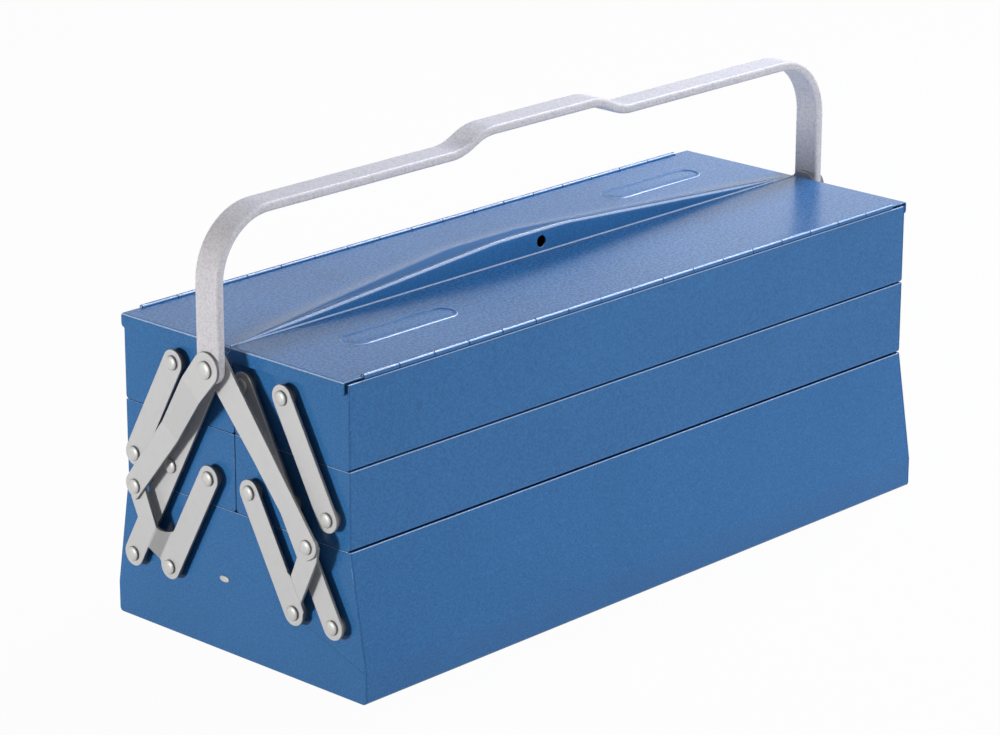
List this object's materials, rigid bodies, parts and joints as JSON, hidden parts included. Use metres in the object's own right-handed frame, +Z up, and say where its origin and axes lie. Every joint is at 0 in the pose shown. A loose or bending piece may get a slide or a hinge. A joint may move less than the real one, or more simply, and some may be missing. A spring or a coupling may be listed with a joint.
{
  "type": "cantilever tool box",
  "caption": "Steel box whose two rows of lidded trays fold out sideways on links when the arched carrying handle is lowered.",
  "frame": {"origin": "centre of the base's underside", "axes": "+X along the box and the handle, +Y towards the left row of trays, +Z up"},
  "size_m": [0.5762, 0.2206, 0.2965],
  "materials": {
    "blue_paint": "blue fine-textured gloss enamel on steel sheet",
    "link_zinc": "satin zinc-plated steel",
    "rivet_zinc": "bright zinc-plated steel rivets",
    "handle_paint": "light grey hammered paint on steel bar"
  },
  "bodies": {
    "base": {"base_body": "blue_paint", "base_end_near": "blue_paint", "base_end_far": "blue_paint", "base_rivets": "rivet_zinc", "base_spacers": "link_zinc"},
    "left_long_links": {"left_long_link_near": "link_zinc", "left_long_link_far": "link_zinc"},
    "left_drive_plates": {"left_drive_plate_near": "link_zinc", "left_drive_plate_far": "link_zinc", "left_drive_tails": "rivet_zinc"},
    "left_middle_tray": {"left_middle_tray": "blue_paint", "left_middle_end_near": "blue_paint", "left_middle_end_far": "blue_paint", "left_middle_rivets": "rivet_zinc", "left_middle_spacers": "link_zinc"},
    "left_short_links": {"left_short_link_near": "link_zinc", "left_short_link_far": "link_zinc"},
    "left_upper_tray": {"left_upper_tray": "blue_paint", "left_upper_end_near": "blue_paint", "left_upper_end_far": "blue_paint", "left_upper_rivets": "rivet_zinc", "left_upper_spacers": "link_zinc", "left_hinge_tray_leaf": "blue_paint", "left_hinge_pin": "link_zinc"},
    "left_lid": {"left_lid": "blue_paint", "left_hinge_lid_leaf": "blue_paint"},
    "left_arms": {"left_arm_near": "link_zinc", "left_arm_far": "link_zinc", "left_drive_rivets": "rivet_zinc"},
    "right_long_links": {"right_long_link_near": "link_zinc", "right_long_link_far": "link_zinc"},
    "right_drive_plates": {"right_drive_plate_near": "link_zinc", "right_drive_plate_far": "link_zinc", "right_drive_tails": "rivet_zinc"},
    "right_middle_tray": {"right_middle_tray": "blue_paint", "right_middle_end_near": "blue_paint", "right_middle_end_far": "blue_paint", "right_middle_rivets": "rivet_zinc", "right_middle_spacers": "link_zinc"},
    "right_short_links": {"right_short_link_near": "link_zinc", "right_short_link_far": "link_zinc"},
    "right_upper_tray": {"right_upper_tray": "blue_paint", "right_upper_end_near": "blue_paint", "right_upper_end_far": "blue_paint", "right_upper_rivets": "rivet_zinc", "right_upper_spacers": "link_zinc", "right_hinge_tray_leaf": "blue_paint", "right_hinge_pin": "link_zinc"},
    "right_lid": {"right_lid": "blue_paint", "right_hinge_lid_leaf": "blue_paint"},
    "right_arms": {"right_arm_near": "link_zinc", "right_arm_far": "link_zinc", "right_drive_rivets": "rivet_zinc"},
    "handle_pivot": {"handle_rivets": "rivet_zinc"},
    "handle": {"handle": "handle_paint"}
  },
  "joints": [
    {"name": "left_long_links_fold", "type": "hinge", "parent": "base", "child": "left_long_links", "pos_m": [0, 0.0885, 0.046], "axis": [-1, 0, 0], "range_deg": [0, 57.75]},
    {"name": "left_drive_plates_fold", "type": "hinge", "parent": "base", "child": "left_drive_plates", "pos_m": [0, 0.055, 0.046], "axis": [-1, 0, 0], "range_deg": [0, 57.75]},
    {"name": "left_middle_tray_level", "type": "hinge", "parent": "left_long_links", "child": "left_middle_tray", "pos_m": [0, 0.0515, 0.1131], "axis": [1, 0, 0], "range_deg": [0, 57.75]},
    {"name": "left_upper_tray_level", "type": "hinge", "parent": "left_long_links", "child": "left_upper_tray", "pos_m": [0, 0.0145, 0.1802], "axis": [1, 0, 0], "range_deg": [0, 57.75]},
    {"name": "left_short_links_fold", "type": "hinge", "parent": "left_middle_tray", "child": "left_short_links", "pos_m": [0, 0.085, 0.1131], "axis": [-1, 0, 0], "range_deg": [0, 57.75]},
    {"name": "left_arms_spread", "type": "hinge", "parent": "handle_pivot", "child": "left_arms", "pos_m": [0, 0, 0.19054], "axis": [1, 0, 0], "range_deg": [0, 24.65]},
    {"name": "left_lid_hinge", "type": "hinge", "parent": "left_upper_tray", "child": "left_lid", "pos_m": [0, 0.09685, 0.20025], "axis": [-1, 0, 0], "range_deg": [0, 230]},
    {"name": "right_long_links_fold", "type": "hinge", "parent": "base", "child": "right_long_links", "pos_m": [0, -0.0885, 0.046], "axis": [1, 0, 0], "range_deg": [0, 57.75]},
    {"name": "right_drive_plates_fold", "type": "hinge", "parent": "base", "child": "right_drive_plates", "pos_m": [0, -0.055, 0.046], "axis": [1, 0, 0], "range_deg": [0, 57.75]},
    {"name": "right_middle_tray_level", "type": "hinge", "parent": "right_long_links", "child": "right_middle_tray", "pos_m": [0, -0.0515, 0.1131], "axis": [-1, 0, 0], "range_deg": [0, 57.75]},
    {"name": "right_upper_tray_level", "type": "hinge", "parent": "right_long_links", "child": "right_upper_tray", "pos_m": [0, -0.0145, 0.1802], "axis": [-1, 0, 0], "range_deg": [0, 57.75]},
    {"name": "right_short_links_fold", "type": "hinge", "parent": "right_middle_tray", "child": "right_short_links", "pos_m": [0, -0.085, 0.1131], "axis": [1, 0, 0], "range_deg": [0, 57.75]},
    {"name": "right_arms_spread", "type": "hinge", "parent": "handle_pivot", "child": "right_arms", "pos_m": [0, 0, 0.19054], "axis": [-1, 0, 0], "range_deg": [0, 24.65]},
    {"name": "right_lid_hinge", "type": "hinge", "parent": "right_upper_tray", "child": "right_lid", "pos_m": [0, -0.09685, 0.20025], "axis": [1, 0, 0], "range_deg": [0, 230]},
    {"name": "handle_pivot_slide", "type": "slide", "parent": "base", "child": "handle_pivot", "axis": [0, 0, 1], "range_m": [-0.08138, 0]},
    {"name": "handle_swing", "type": "hinge", "parent": "handle_pivot", "child": "handle", "pos_m": [0, 0, 0.19054], "axis": [1, 0, 0], "range_deg": [-56, 56]}
  ],
  "couplings": [
    {"joint": "left_drive_plates_fold", "follows": "left_long_links_fold", "ratio": 1},
    {"joint": "left_middle_tray_level", "follows": "left_long_links_fold", "ratio": 1},
    {"joint": "left_upper_tray_level", "follows": "left_long_links_fold", "ratio": 1},
    {"joint": "left_short_links_fold", "follows": "left_long_links_fold", "ratio": 1},
    {"joint": "left_arms_spread", "follows": "left_long_links_fold", "ratio": 0.42662},
    {"joint": "right_long_links_fold", "follows": "left_long_links_fold", "ratio": 1},
    {"joint": "right_drive_plates_fold", "follows": "left_long_links_fold", "ratio": 1},
    {"joint": "right_middle_tray_level", "follows": "left_long_links_fold", "ratio": 1},
    {"joint": "right_upper_tray_level", "follows": "left_long_links_fold", "ratio": 1},
    {"joint": "right_short_links_fold", "follows": "left_long_links_fold", "ratio": 1},
    {"joint": "right_arms_spread", "follows": "left_long_links_fold", "ratio": 0.42662},
    {"joint": "handle_pivot_slide", "follows": "left_long_links_fold", "m_per_rad": -0.080728}
  ]
}
